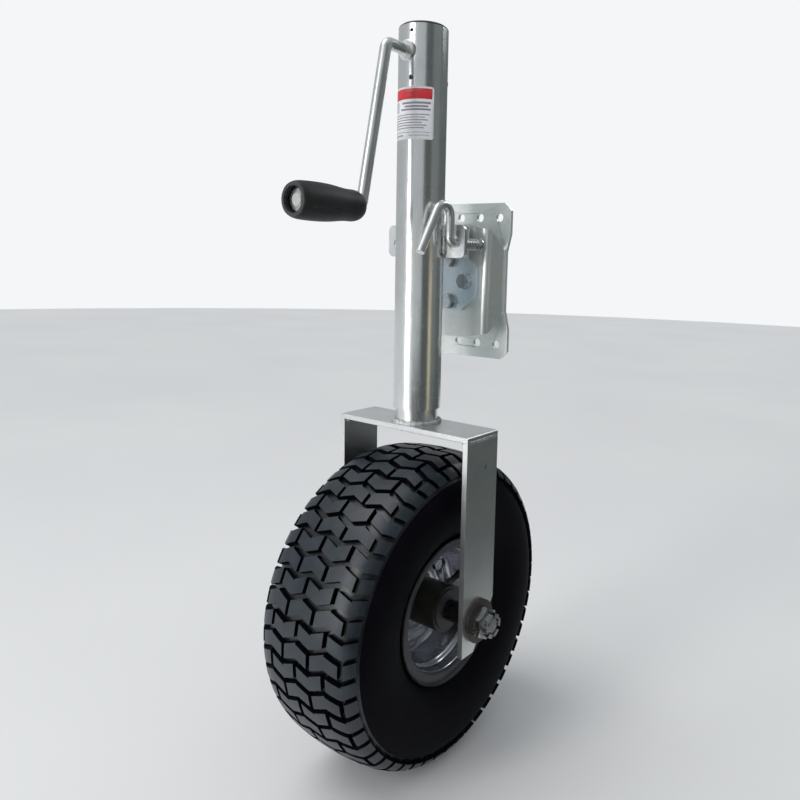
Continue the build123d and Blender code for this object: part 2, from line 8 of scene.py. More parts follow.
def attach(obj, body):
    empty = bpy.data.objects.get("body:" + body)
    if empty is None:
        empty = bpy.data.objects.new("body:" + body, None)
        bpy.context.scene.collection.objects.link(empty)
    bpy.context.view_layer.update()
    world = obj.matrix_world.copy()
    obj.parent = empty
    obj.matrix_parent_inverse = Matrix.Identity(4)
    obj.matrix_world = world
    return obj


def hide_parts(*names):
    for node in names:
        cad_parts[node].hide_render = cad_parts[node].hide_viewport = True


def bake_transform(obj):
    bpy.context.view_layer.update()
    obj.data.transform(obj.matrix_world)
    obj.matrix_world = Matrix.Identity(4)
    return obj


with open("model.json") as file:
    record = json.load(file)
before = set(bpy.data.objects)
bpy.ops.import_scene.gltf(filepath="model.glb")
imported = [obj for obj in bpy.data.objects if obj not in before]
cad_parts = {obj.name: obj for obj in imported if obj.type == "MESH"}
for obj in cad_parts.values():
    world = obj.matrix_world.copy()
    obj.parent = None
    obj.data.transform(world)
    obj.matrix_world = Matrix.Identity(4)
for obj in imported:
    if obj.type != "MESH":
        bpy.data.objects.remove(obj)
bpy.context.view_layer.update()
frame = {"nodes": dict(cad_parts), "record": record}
nodes = frame["nodes"]
mm = 0.001

# Driving dimensions, in millimetres.
tube_y = -106.0
axle_z = -396.5
tyre_radius = 190.5
fork_half_width = 100.0
fork_seam_z = -177.0
fork_corner_z = -179.4
pin_line = 44.5
label_radius = 28.7
floor_z = -0.5872  # metres, as everything in the studio


# ------------------------------------------------------------------ camera
def make_camera():
    """Low three-quarter view from the front right, slightly above the label."""
    yaw, pitch, roll = (math.radians(v) for v in (35.32, 7.24, 1.68))
    ahead = Vector((-math.sin(yaw) * math.cos(pitch), math.cos(yaw) * math.cos(pitch), -math.sin(pitch)))
    level = Vector((math.cos(yaw), math.sin(yaw), 0.0))
    upright = level.cross(ahead)
    right = math.cos(roll) * level + math.sin(roll) * upright
    up = -math.sin(roll) * level + math.cos(roll) * upright
    data = bpy.data.cameras.new("camera")
    data.sensor_width = 36.0
    data.lens = 32.14
    data.shift_x = -0.0967
    data.shift_y = -0.0577
    camera = bpy.data.objects.new("camera", data)
    place = Matrix((right, up, -ahead)).transposed().to_4x4()
    place.translation = Vector((0.5544, -0.7638, 0.0229))
    camera.matrix_world = place
    bpy.context.scene.collection.objects.link(camera)
    bpy.context.scene.camera = camera


make_camera()


# ------------------------------------------------------------------ materials
class Graph:
    """A principled material and short calls for the nodes that feed it."""

    def __init__(self, name):
        self.material = bpy.data.materials.new(name)
        self.material.use_nodes = True
        self.tree = self.material.node_tree
        self.shader = self.tree.nodes["Principled BSDF"]
        self.place = self.add("ShaderNodeTexCoord").outputs["Object"]

    def add(self, kind, **inputs):
        node = self.tree.nodes.new(kind)
        for key, value in inputs.items():
            node.inputs[key.replace("_", " ")].default_value = value
        return node

    def link(self, out, to):
        self.tree.links.new(out, to)

    def stretch(self, x, y, z):
        node = self.add("ShaderNodeMapping")
        node.inputs["Scale"].default_value = (x, y, z)
        self.link(self.place, node.inputs["Vector"])
        return node.outputs["Vector"]

    def noise(self, vector, scale, detail=3.0, rough=0.5, distortion=0.0):
        node = self.add("ShaderNodeTexNoise", Scale=scale, Detail=detail, Roughness=rough,
                        Distortion=distortion)
        self.link(vector, node.inputs["Vector"])
        return node.outputs["Fac"]

    def span(self, value, low, high, to_low, to_high):
        """The value's low..high range carried to another range and held at its ends."""
        node = self.add("ShaderNodeMapRange")
        for i, v in enumerate((low, high, to_low, to_high)):
            node.inputs[i + 1].default_value = v
        self.link(value, node.inputs[0])
        return node.outputs[0]

    def ramp(self, value, *stops):
        node = self.add("ShaderNodeValToRGB")
        ramp = node.color_ramp
        while len(ramp.elements) < len(stops):
            ramp.elements.new(0.5)
        for element, (at, colour) in zip(ramp.elements, stops):
            element.position = at
            element.color = (*colour, 1.0)
        self.link(value, node.inputs["Fac"])
        return node.outputs["Color"]

    def math(self, op, a, b):
        node = self.add("ShaderNodeMath")
        node.operation = op
        for i, v in enumerate((a, b)):
            if isinstance(v, (int, float)):
                node.inputs[i].default_value = v
            else:
                self.link(v, node.inputs[i])
        return node.outputs[0]

    def mix(self, factor, a, b):
        node = self.add("ShaderNodeMix")
        node.data_type = "RGBA"
        for socket, v in ((node.inputs[0], factor), (node.inputs[6], a), (node.inputs[7], b)):
            if isinstance(v, (int, float)):
                socket.default_value = v
            elif isinstance(v, tuple):
                socket.default_value = (*v, 1.0)
            else:
                self.link(v, socket)
        return node.outputs[2]

    def bump(self, height, strength, distance, normal=None):
        node = self.add("ShaderNodeBump", Strength=strength, Distance=distance)
        self.link(height, node.inputs["Height"])
        if normal is not None:
            self.link(normal, node.inputs["Normal"])
        return node.outputs["Normal"]

    def edges(self, low=0.50, high=0.56):
        """1 on sharp outer edges, 0 elsewhere."""
        return self.span(self.add("ShaderNodeNewGeometry").outputs["Pointiness"], low, high, 0.0, 1.0)

    def finish(self, colour, rough, normal, **sockets):
        self.link(colour, self.shader.inputs["Base Color"])
        self.link(rough, self.shader.inputs["Roughness"])
        self.link(normal, self.shader.inputs["Normal"])
        for key, value in sockets.items():
            self.shader.inputs[key.replace("_", " ")].default_value = value
        return self.material


def zinc(name, light, dark, warm, grain, rough=(0.22, 0.42), spangle=0.15, metallic=1.0, rim=0.35):
    """Bright zinc: cloudy colour, fine drawn grain, faint stains and a painted highlight along sharp edges.
    """
    g = Graph(name)
    clouds = g.noise(g.stretch(1, 1, 1), 22.0, 4.0, 0.6)
    fine = g.noise(g.stretch(*grain), 9.0, 4.0, 0.55)
    stains = g.noise(g.stretch(1, 1, 0.6), 55.0, 6.0, 0.7, 0.8)
    tint = g.ramp(clouds, (0.32, dark), (0.55, light), (0.72, warm))
    tint = g.mix(g.span(fine, 0.35, 0.7, 0.0, spangle), tint, tuple(0.72 * v for v in light))
    tint = g.mix(g.span(stains, 0.58, 0.78, 0.0, 0.22), tint, tuple(0.68 * v for v in warm))
    # Painted highlight: sharp edges are lightened in the colour, standing in for the glint off their
    # rounds.
    tint = g.mix(g.math("MULTIPLY", g.edges(), rim), tint, (0.90, 0.91, 0.90))
    roughness = g.span(g.math("ADD", fine, g.math("MULTIPLY", stains, 0.6)), 0.5, 1.1, *rough)
    normal = g.bump(clouds, 0.08, 0.0015)
    return g.finish(tint, roughness, normal, Metallic=metallic)


def bead_metal(name):
    """Weld metal: lumpy, sooty in places."""
    g = Graph(name)
    lumps = g.noise(g.stretch(1, 1, 1), 420.0, 3.0, 0.6)
    soot = g.noise(g.stretch(1, 1, 1), 130.0, 5.0, 0.7)
    tint = g.ramp(soot, (0.35, (0.30, 0.30, 0.29)), (0.55, (0.66, 0.67, 0.66)), (0.75, (0.86, 0.87, 0.86)))
    return g.finish(tint, g.span(lumps, 0.3, 0.7, 0.28, 0.6), g.bump(lumps, 0.5, 0.0006), Metallic=0.9)


def machined(name, colour, dark, scale=900.0, rim=0.3):
    """Cut or turned metal under a thin uneven film, with a painted highlight along sharp edges."""
    g = Graph(name)
    rings = g.noise(g.stretch(1, 1, 3), scale, 2.0, 0.5)
    film = g.noise(g.stretch(1, 1, 1), 60.0, 5.0, 0.65)
    tint = g.ramp(film, (0.35, dark), (0.62, colour))
    # Painted highlight: sharp edges are lightened in the colour.
    tint = g.mix(g.math("MULTIPLY", g.edges(0.52, 0.60), rim), tint, (0.80, 0.80, 0.79))
    return g.finish(tint, g.span(film, 0.3, 0.7, 0.2, 0.45), g.bump(rings, 0.15, 0.0002), Metallic=1.0)


def moulded(name, colour, pale, rough=(0.45, 0.65)):
    """Moulded plastic or rubber: grained skin, dusty patches, worn edges."""
    g = Graph(name)
    skin = g.noise(g.stretch(1, 1, 1), 900.0, 3.0, 0.6)
    dust = g.noise(g.stretch(1, 1, 1), 45.0, 6.0, 0.7)
    worn = tuple(min(1.0, 2.2 * v + 0.02) for v in pale)
    tint = g.mix(g.span(dust, 0.5, 0.75, 0.0, 0.5), colour, pale)
    tint = g.mix(g.math("MULTIPLY", g.edges(0.51, 0.58), 0.45), tint, worn)
    return g.finish(tint, g.span(skin, 0.3, 0.7, *rough), g.bump(skin, 0.25, 0.0002))


def rubber(name):
    """Tyre rubber: very dark bluish black, smooth, with a faint bloom."""
    g = Graph(name)
    skin = g.noise(g.stretch(1, 1, 1), 700.0, 4.0, 0.6)
    bloom = g.noise(g.stretch(1, 1, 1), 22.0, 6.0, 0.65)
    tint = g.ramp(bloom, (0.35, (0.0018, 0.0019, 0.0042)), (0.55, (0.0026, 0.0026, 0.0056)),
                  (0.75, (0.0042, 0.0040, 0.0078)))
    roughness = g.span(skin, 0.3, 0.7, 0.52, 0.68)
    return g.finish(tint, roughness, g.bump(skin, 0.2, 0.0003), Specular_IOR_Level=0.07)


def rubber_top(name):
    """Tops of the tread blocks: bluish grey-black, polished and a little dusty."""
    g = Graph(name)
    skin = g.noise(g.stretch(1, 1, 1), 900.0, 4.0, 0.65)
    dust = g.noise(g.stretch(1, 1, 1), 26.0, 6.0, 0.65)
    scuff = g.noise(g.stretch(3, 1, 1), 150.0, 5.0, 0.7)
    tint = g.ramp(dust, (0.32, (0.008, 0.013, 0.020)), (0.52, (0.013, 0.020, 0.028)),
                  (0.72, (0.022, 0.031, 0.040)))
    tint = g.mix(g.span(scuff, 0.56, 0.78, 0.0, 0.30), tint, (0.050, 0.058, 0.068))
    normal = g.bump(skin, 0.25, 0.0004, g.bump(dust, 0.3, 0.002))
    return g.finish(tint, g.span(dust, 0.3, 0.7, 0.26, 0.46), normal, Specular_IOR_Level=0.5)


def rubber_floor(name):
    """Bottom of the tread's grooves: black and glossy."""
    g = Graph(name)
    skin = g.noise(g.stretch(1, 1, 1), 500.0, 4.0, 0.6)
    mud = g.noise(g.stretch(1, 1, 1), 60.0, 5.0, 0.7)
    tint = g.ramp(mud, (0.35, (0.0030, 0.0036, 0.0055)), (0.55, (0.0050, 0.0060, 0.0085)),
                  (0.75, (0.012, 0.013, 0.015)))
    roughness = g.span(mud, 0.3, 0.7, 0.22, 0.40)
    return g.finish(tint, roughness, g.bump(skin, 0.2, 0.0004), Specular_IOR_Level=0.6)


def paint(name, light, dark, rough=(0.17, 0.30), metallic=0.95):
    """Silver wheel paint: fine flake, cloudy tone, slight orange peel."""
    g = Graph(name)
    flake = g.noise(g.stretch(1, 1, 1), 1800.0, 2.0, 0.5)
    clouds = g.noise(g.stretch(1, 1, 1), 30.0, 5.0, 0.65)
    tint = g.ramp(clouds, (0.3, dark), (0.62, light))
    tint = g.mix(g.span(flake, 0.5, 0.75, 0.0, 0.18), tint, tuple(min(1.0, 1.4 * v) for v in light))
    peel = g.noise(g.stretch(1, 1, 1), 160.0, 2.0, 0.5)
    return g.finish(tint, g.span(clouds, 0.3, 0.7, *rough), g.bump(peel, 0.10, 0.0006), Metallic=metallic)


def print_film(name, colour):
    """Printed plastic film, slightly scuffed."""
    g = Graph(name)
    weave = g.noise(g.stretch(1, 1, 1), 1200.0, 2.0, 0.5)
    wear = g.noise(g.stretch(1, 1, 1), 70.0, 5.0, 0.7)
    tint = g.mix(g.span(wear, 0.52, 0.75, 0.0, 0.3), colour, tuple(0.8 * v for v in colour))
    return g.finish(tint, g.span(wear, 0.3, 0.7, 0.28, 0.4), g.bump(weave, 0.05, 0.0001))


def floor_material():
    """Pale paper floor."""
    g = Graph("floor_paper")
    tone = g.noise(g.stretch(1, 1, 1), 1.4, 3.0, 0.5)
    grit = g.noise(g.stretch(1, 1, 1), 300.0, 2.0, 0.5)
    tint = g.ramp(tone, (0.3, (0.86, 0.86, 0.865)), (0.7, (0.90, 0.90, 0.90)))
    return g.finish(tint, g.span(grit, 0.3, 0.7, 0.75, 0.9), g.bump(grit, 0.05, 0.0004))


finishes = {
    "zinc_plated_steel": zinc(
        "zinc_plated_steel", light=(0.78, 0.80, 0.80), dark=(0.66, 0.68, 0.69), warm=(0.80, 0.79, 0.72),
        grain=(14, 26, 34), rough=(0.29, 0.40), spangle=0.12),
    "zinc_tube": zinc(
        "zinc_tube", light=(0.76, 0.78, 0.79), dark=(0.66, 0.68, 0.70), warm=(0.80, 0.78, 0.71),
        grain=(90, 90, 3), rough=(0.16, 0.30)),
    "blue_zinc_plate": zinc(
        "blue_zinc_plate", light=(0.66, 0.80, 0.88), dark=(0.56, 0.70, 0.78), warm=(0.70, 0.80, 0.82),
        grain=(30, 30, 30), rough=(0.24, 0.42), metallic=0.62),
    "zinc_fastener": zinc(
        "zinc_fastener", light=(0.66, 0.70, 0.72), dark=(0.40, 0.43, 0.46), warm=(0.72, 0.70, 0.62),
        grain=(60, 60, 60), rough=(0.16, 0.32), spangle=0.3, rim=0.12),
    "weld_bead": bead_metal("weld_bead"),
    "machined_steel": machined("machined_steel", (0.55, 0.55, 0.56), (0.30, 0.30, 0.31)),
    "dark_steel": machined("dark_steel", (0.070, 0.058, 0.050), (0.028, 0.022, 0.019), 500.0, 0.05),
    "spring_steel": machined("spring_steel", (0.60, 0.60, 0.59), (0.38, 0.38, 0.38)),
    "brass": machined("brass", (0.72, 0.55, 0.27), (0.50, 0.36, 0.16)),
    "black_plastic": moulded("black_plastic", (0.012, 0.012, 0.013), (0.03, 0.03, 0.032)),
    "label_film": print_film("label_film", (0.80, 0.80, 0.83)),
    "rim_paint": paint("rim_paint", (0.58, 0.59, 0.63), (0.44, 0.45, 0.49)),
    "tyre_rubber": rubber("tyre_rubber"),
    "valve_rubber": moulded("valve_rubber", (0.014, 0.014, 0.015), (0.04, 0.04, 0.04), (0.4, 0.55)),
}

for row in frame["record"]["subparts"]:
    mesh = nodes[row["node"]].data
    mesh.materials.clear()
    mesh.materials.append(finishes[row["material_slot"]])

# Parts whose finish differs a little from the rest of their slot: lighter or darker copies painted with the
# light and shade they sit in.
lit_and_shaded_finishes = {
    # Painted light: lighter copies of the zinc for the mounting plate and the channel, making up for the
    # shade on them.
    "mounting_plate": zinc(
        "plate_zinc_painted_light", light=(0.80, 0.85, 0.83), dark=(0.70, 0.76, 0.75), warm=(0.82, 0.84, 0.78),
        grain=(14, 14, 26), rough=(0.28, 0.45), spangle=0.12, metallic=0.70),
    "pivot_channel": zinc(
        "channel_zinc_painted_light", light=(0.78, 0.82, 0.80), dark=(0.68, 0.73, 0.72), warm=(0.80, 0.80, 0.72),
        grain=(14, 14, 26), rough=(0.26, 0.40), spangle=0.12, metallic=0.78),
}
# Painted shade: the axle nut and bolt get a darker copy of the fastener zinc, for the shade on the wheel's
# dark side.
for node in ("axle_nut", "axle_bolt"):
    lit_and_shaded_finishes[node] = zinc(
        node + "_zinc", light=(0.36, 0.37, 0.38), dark=(0.17, 0.18, 0.19), warm=(0.42, 0.40, 0.36),
        grain=(60, 60, 60), rough=(0.16, 0.32), spangle=0.3, rim=0.12)
# Painted shade: the hub tube is near black for the shade deep in the wheel's dish.
lit_and_shaded_finishes["hub_tube"] = paint(
    "hub_painted_shade", (0.060, 0.062, 0.050), (0.024, 0.025, 0.020), rough=(0.30, 0.45), metallic=0.6)
for node, finish in lit_and_shaded_finishes.items():
    nodes[node].data.materials[0] = finish


# ------------------------------------------------------------------ mesh helpers, all in millimetres
def piece(name, body, slot, verts, faces, replaces=(), sharp=40.0, marks=None):
    """A mesh piece from points in mm, riding on a body; marks are the faces' material numbers."""
    mesh = bpy.data.meshes.new(name)
    mesh.from_pydata([(x * mm, y * mm, z * mm) for x, y, z in verts], [], faces)
    if marks:
        mesh.polygons.foreach_set("material_index", marks)
    mesh.validate()
    bm = bmesh.new()
    bm.from_mesh(mesh)
    bmesh.ops.remove_doubles(bm, verts=bm.verts, dist=1e-6)
    bmesh.ops.recalc_face_normals(bm, faces=bm.faces)
    bm.to_mesh(mesh)
    bm.free()
    mesh.materials.append(finishes[slot])
    obj = bpy.data.objects.new(name, mesh)
    bpy.context.scene.collection.objects.link(obj)
    mesh.shade_smooth()
    mesh.set_sharp_from_angle(angle=math.radians(sharp))
    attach(obj, body)
    if replaces:
        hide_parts(*replaces)
    return obj


def grid_faces(rows, columns, wrap_rows=False, wrap_columns=False):
    """Quads between rows of points that each have the same number of columns."""
    faces = []
    for i in range(rows if wrap_rows else rows - 1):
        near, far = i * columns, (i + 1) % rows * columns
        for j in range(columns if wrap_columns else columns - 1):
            after = (j + 1) % columns
            faces.append((near + j, near + after, far + after, far + j))
    return faces


def on_wheel(x, radius, angle):
    """Point round the axle: angle 0 faces -Y, 90 degrees is up."""
    return (x, tube_y - radius * math.cos(angle), axle_z + radius * math.sin(angle))


def sampled(points, steps):
    """Catmull-Rom curve through points."""
    out = []
    for i in range(len(points) - 1):
        p = [Vector(points[max(0, min(len(points) - 1, i + k))]) for k in (-1, 0, 1, 2)]
        for j in range(steps):
            t = j / steps
            out.append(0.5 * (2 * p[1] + (p[2] - p[0]) * t + (2 * p[0] - 5 * p[1] + 4 * p[2] - p[3]) * t * t
                              + (3 * p[1] - p[0] - 3 * p[2] + p[3]) * t ** 3))
    out.append(Vector(points[-1]))
    return out


# ------------------------------------------------------------------ tyre
tread_pitches = 26
tread_phase = 2.3
tread_depth = 6.4
tread_edge = 71.0
block_half_height = 8.3
groove_extra = 1.8
chamfer = 0.75
zigzag_height = 3.8
crown_points = [(0, tyre_radius), (22, 189.8), (44, 187.4), (56, 184.4), (63, 181.0), (67.5, 177.0),
                (70.0, 173.4), (71.6, 170.0)]
crown_curve = sampled([(-x, r) for x, r in reversed(crown_points[1:])] + crown_points, 8)


def crown_at(x):
    """Point and outward normal of the smooth crown at a place across it."""
    for a, b in zip(crown_curve, crown_curve[1:]):
        if x <= b[0]:
            break
    t = 0.0 if b[0] == a[0] else (x - a[0]) / (b[0] - a[0])
    along = (b - a).normalized()
    return a[1] + (b[1] - a[1]) * t, Vector((-along[1], along[0]))


def zigzag(x):
    """Height of the tread's zigzag line: peaks at 0 and 40, valleys at 20 and 60."""
    place = (x / 20.0) % 2.0
    return zigzag_height * (1 - 2 * abs(place - (0 if place <= 1 else 2)))


def tread_block(x0, x1):
    """Outline of a block between two cross grooves, as (across, along) points."""
    corners = [x0] + [x for x in (-60, -40, -20, 0, 20, 40, 60) if x0 + 1 < x < x1 - 1] + [x1]
    top, bottom = [], []
    for a, b in zip(corners, corners[1:]):
        falls = zigzag((a + b) / 2 + 1) < zigzag((a + b) / 2 - 1)
        rise = block_half_height - (groove_extra if falls else 0.0)
        top += [(a, zigzag(a) + rise), (b, zigzag(b) + rise)]
        bottom += [(a, zigzag(a) - block_half_height), (b, zigzag(b) - block_half_height)]
    outline = []
    for p in bottom + top[::-1]:
        if not outline or math.dist(p, outline[-1]) > 0.05:
            outline.append(p)
    return outline


def block_mesh(outline):
    """One flat block: chamfered top, drafted walls, cut up so that it bends round the crown."""
    bm = bmesh.new()
    face = bm.faces.new([bm.verts.new((x, y, 0.0)) for x, y in outline])
    if face.normal.z < 0:
        face.normal_flip()
    bm.normal_update()
    if face.normal.z < 0:
        bmesh.ops.reverse_faces(bm, faces=[face])
    bmesh.ops.inset_region(bm, faces=[face], thickness=chamfer, depth=chamfer, use_even_offset=True)
    outer = [e for e in bm.edges if e.is_boundary]
    wall = bmesh.ops.extrude_edge_only(bm, edges=outer)
    low = [v for v in wall["geom"] if isinstance(v, bmesh.types.BMVert)]
    centre_x = sum(p[0] for p in outline) / len(outline)
    centre_y = sum(p[1] for p in outline) / len(outline)
    for v in low:
        out = Vector((v.co.x - centre_x, v.co.y - centre_y, 0.0))
        if out.length > 0:
            v.co += out.normalized() * 0.7
        v.co.z = -tread_depth - 0.8
    xs = [x for x, _ in outline]
    ys = [y for _, y in outline]
    cuts = [(Vector((x, 0, 0)), Vector((1, 0, 0))) for x in range(-72, 73, 4) if min(xs) < x < max(xs)]
    cuts += [(Vector((0, y, 0)), Vector((0, 1, 0))) for y in range(-16, 17, 4) if min(ys) < y < max(ys)]
    for place, direction in cuts:
        whole = bm.verts[:] + bm.edges[:] + bm.faces[:]
        bmesh.ops.bisect_plane(bm, geom=whole, plane_co=place, plane_no=direction)
    verts = [v.co.copy() for v in bm.verts]
    index = {v: i for i, v in enumerate(bm.verts)}
    faces = [tuple(index[v] for v in f.verts) for f in bm.faces]
    bm.free()
    return verts, faces


def build_tyre():
    """Carcass turned round the axle, with two staggered rows of blocks repeated round its crown."""
    verts = []
    wall = [(54.2, 77.0), (54.6, 82.0), (56.0, 88.0), (60, 93), (64.0, 97.6), (68.5, 106), (72.0, 114.5),
            (74.2, 124), (75.3, 133), (75.5, 143), (74.6, 153), (72.6, 160.5), (69.6, 165.4)]
    floor = []
    for x in (68.6, 66.0, 62.0, 56.0, 48.0, 38.0, 28.0, 18.0, 8.0, 0.0):
        r, n = crown_at(x)
        floor.append((x - n[0] * tread_depth, r - n[1] * tread_depth))
    outer = [tuple(p) for p in sampled(wall, 3)] + floor
    outer = outer + [(-x, r) for x, r in reversed(outer[:-1])]
    inner = [(44, 77.0), (45, 86), (52, 98), (62, 118), (66, 142), (62, 160), (52, 172), (30, 177.0),
             (0, 178)]
    inner = [(-x, r) for x, r in inner[:-1]] + [(x, r) for x, r in reversed(inner)]
    loop = outer + inner
    turns = 208
    for i in range(turns):
        angle = 2 * math.pi * i / turns
        verts += [on_wheel(x, r, angle) for x, r in loop]
    faces = grid_faces(turns, len(loop), True, True)
    between = range(len(outer) // 2 - len(floor), len(outer) // 2 + len(floor))
    marks = [2 if i % len(loop) in between else 0 for i in range(len(faces))]
    rows = {
        0.0: [(-tread_edge, -62.4), (-57.4, -22.4), (-17.6, 16.4), (21.6, 56.6), (61.4, tread_edge)],
        0.5: [(-tread_edge, -43.0), (-38.0, -3.4), (1.8, 36.6), (42.4, tread_edge)],
    }
    clear = chamfer + 0.05
    for phase, spans in rows.items():
        for x0, x1 in spans:
            block, cells = block_mesh(tread_block(x0, x1))
            for k in range(tread_pitches):
                first = len(verts)
                start = math.radians(tread_phase) + 2 * math.pi * (k + phase) / tread_pitches
                for p in block:
                    x = max(-tread_edge, min(tread_edge, p.x))
                    r, n = crown_at(x)
                    depth = p.z - clear
                    turn = start + p.y / tyre_radius
                    verts.append(on_wheel(x + n[0] * depth, r + n[1] * depth, turn))
                faces += [tuple(first + i for i in f) for f in cells]
                marks += [1 if min(block[i].z for i in f) > -0.9 else 0 for f in cells]
    obj = piece("tyre_tread", "wheel", "tyre_rubber", verts, faces, ["tyre"], sharp=32.0, marks=marks)
    obj.data.materials.append(rubber_top("tyre_tread_tops"))
    obj.data.materials.append(rubber_floor("tyre_tread_floor"))


build_tyre()


# ------------------------------------------------------------------ rim
def build_rim(side, name, node):
    """Pressed half rim with a stepped web, four triangular embosses and a rolled flange in painted shade.
    """
    disc = [(1.3, 28.2), (1.3, 34), (3.6, 38.0), (7.0, 41.5), (7.3, 46.5), (7.0, 52), (4.2, 55.5),
            (2.2, 58.5), (2.0, 61.5), (3.6, 65.2), (7.4, 68.0)]
    well = [(12, 69.3), (24, 69.5), (34, 69.6), (38.5, 70.6), (41.5, 73.4), (44.5, 74.8), (50, 75.1)]
    flange = [(54.6, 75.2), (56.4, 77.4), (57.0, 82), (57.8, 86.4), (60.2, 88.5), (62.0, 87.4)]
    path = sampled(disc + well + flange, 3)
    turns = 144
    thick = 1.25
    verts = []
    for i in range(turns):
        angle = 2 * math.pi * i / turns
        lobe = math.cos(4 * (angle - math.radians(20)))
        lift = 0.5 + 0.5 * math.tanh(4 * (lobe - 0.15))
        ring_out, ring_in = [], []
        for j, p in enumerate(path):
            a, b = path[max(0, j - 1)], path[min(len(path) - 1, j + 1)]
            n = Vector((-(b[1] - a[1]), b[0] - a[0])).normalized()
            x, r = p
            if 53 < r < 69.2 and x < 12:
                x += 4.2 * lift * math.sin(math.pi * (r - 53) / 16.2) ** 2
            ring_out.append(on_wheel(side * (x - n[0] * thick), r - n[1] * thick, angle))
            ring_in.append(on_wheel(side * (x + n[0] * thick), r + n[1] * thick, angle))
        verts += ring_out + ring_in[::-1]
    faces = grid_faces(turns, 2 * len(path), True, True)
    loop = path + path[::-1]
    # Painted shade: faces past the bead seat (mark 1) take a dark copy of the rim paint.
    marks = [1 if loop[i % len(loop)][1] > 75.6 else 0 for i in range(len(faces))]
    obj = piece(name, "wheel", "rim_paint", verts, faces, [node], sharp=50.0, marks=marks)
    obj.data.materials.append(paint(
        name + "_painted_shade_flange", (0.10, 0.105, 0.115), (0.05, 0.052, 0.058), rough=(0.35, 0.5), metallic=0.8))


build_rim(1, "rim_right", "rim_half_right")
build_rim(-1, "rim_left", "rim_half_left")


# ------------------------------------------------------------------ welds
def weld(name, body, path, radius, node=None, closed=False, seed=1.0):
    """A hand-laid bead: overlapping ripples of uneven width along a path."""
    path = [Vector(p) for p in path]
    ring = 14
    verts = []
    travelled = 0.0
    count = len(path)
    for i, p in enumerate(path):
        a = path[(i - 1) % count] if closed else path[max(0, i - 1)]
        b = path[(i + 1) % count] if closed else path[min(count - 1, i + 1)]
        if i:
            travelled += (p - path[i - 1]).length
        ahead = (b - a).normalized()
        side = ahead.cross(Vector((0, 0, 1)) if abs(ahead.z) < 0.9 else Vector((0, 1, 0))).normalized()
        up = side.cross(ahead)
        ripple = abs(math.sin(math.pi * travelled / 2.6 + seed))
        grow = 0.86 + 0.16 * ripple + 0.22 * noise.noise(Vector((travelled * 0.22, seed, 0)))
        end = 1.0
        if not closed:
            end = min(1.0, 0.25 + 0.75 * min(i, count - 1 - i) / 5)
        for k in range(ring):
            turn = 2 * math.pi * k / ring
            spot = Vector((travelled * 0.5, math.cos(turn) * 2, math.sin(turn) * 2 + seed))
            lump = 1 + 0.10 * noise.noise(spot)
            offset = (side * math.cos(turn) + up * math.sin(turn)) * radius * grow * lump * end
            verts.append(p + offset)
    faces = grid_faces(count, ring, closed, True)
    if not closed:
        faces += [tuple(range(ring))[::-1], tuple(range((count - 1) * ring, count * ring))]
    stands_for = [node] if node else ()
    return piece(name, body, "weld_bead", [tuple(v) for v in verts], faces, stands_for, sharp=60.0)


def straight(a, b, step, wobble, seed):
    """Points along a slightly unsteady line."""
    a, b = Vector(a), Vector(b)
    count = max(4, int((b - a).length / step))
    out = []
    for i in range(count + 1):
        shift = noise.noise_vector(Vector((i * 0.11, seed, 0.7))) * wobble
        out.append(a.lerp(b, i / count) + shift)
    return out


def weld_pair(name, body, x, ends, radius, seed, node=None, step=0.65, wobble=0.15):
    """A bead on the right and its twin on the left; the right one stands for the CAD node."""
    (y0, z0), (y1, z1) = ends
    for side, suffix, shift in ((1, "_right", 0.0), (-1, "_left", 1.0)):
        path = straight((side * x, y0, z0), (side * x, y1, z1), step, wobble, seed + shift)
        weld(name + suffix, body, path, radius, node if side > 0 else None, seed=seed + shift)


def leg_ring(steps=260, radius=27.0, z=-169.4):
    """Unsteady circle where the leg tube meets the fork's plate."""
    points = []
    for i in range(steps):
        turn = 2 * math.pi * i / steps
        reach = radius + 0.6 * noise.noise(Vector((math.cos(turn) * 1.8, math.sin(turn) * 1.8, 0.3)))
        points.append((reach * math.cos(turn), tube_y + reach * math.sin(turn), z))
    return points


def build_scratch():
    """Short slanted scratch on the outside of the right leg."""
    reach = 3.4
    points = []
    for k in range(16):
        t = math.pi * k / 8
        along, across = reach * math.cos(t), math.sin(t)
        y, z = -99.6 + 0.45 * along - 0.5 * across, -211.0 + 0.9 * along + 0.4 * across
        points.append((fork_half_width + 0.05, y, z))
    piece("leg_scratch", "leg", "dark_steel", points, [tuple(range(16))])


weld("leg_weld_bead", "leg", leg_ring(), 3.3, "leg_weld", closed=True, seed=2.0)
weld_pair("fork_weld", "leg", 91.6, ((-134, fork_corner_z), (-78, fork_corner_z)), 2.9, 3.0, "fork_welds")
seam_ends = (-135.0, fork_seam_z), (-77, fork_seam_z)
weld_pair("fork_seam", "leg", 99.0, seam_ends, 2.0, 5.0, step=0.5, wobble=0.6)
build_scratch()
weld_pair("channel_weld", "bracket", 48.4, ((-6.6, -37), (-6.6, 37)), 2.6, 7.0, "channel_welds")
weld_pair("saddle_weld", "jack", 29.6, ((-97.2, 29.5), (-97.2, 64.5)), 2.9, 9.0, "saddle_welds")
tongue_line = straight((-15, -46.4, 62.6), (15, -46.4, 62.6), 0.65, 0.15, 11.0)
weld("tongue_weld_bead", "jack", tongue_line, 2.2, "tongue_weld", seed=11.0)


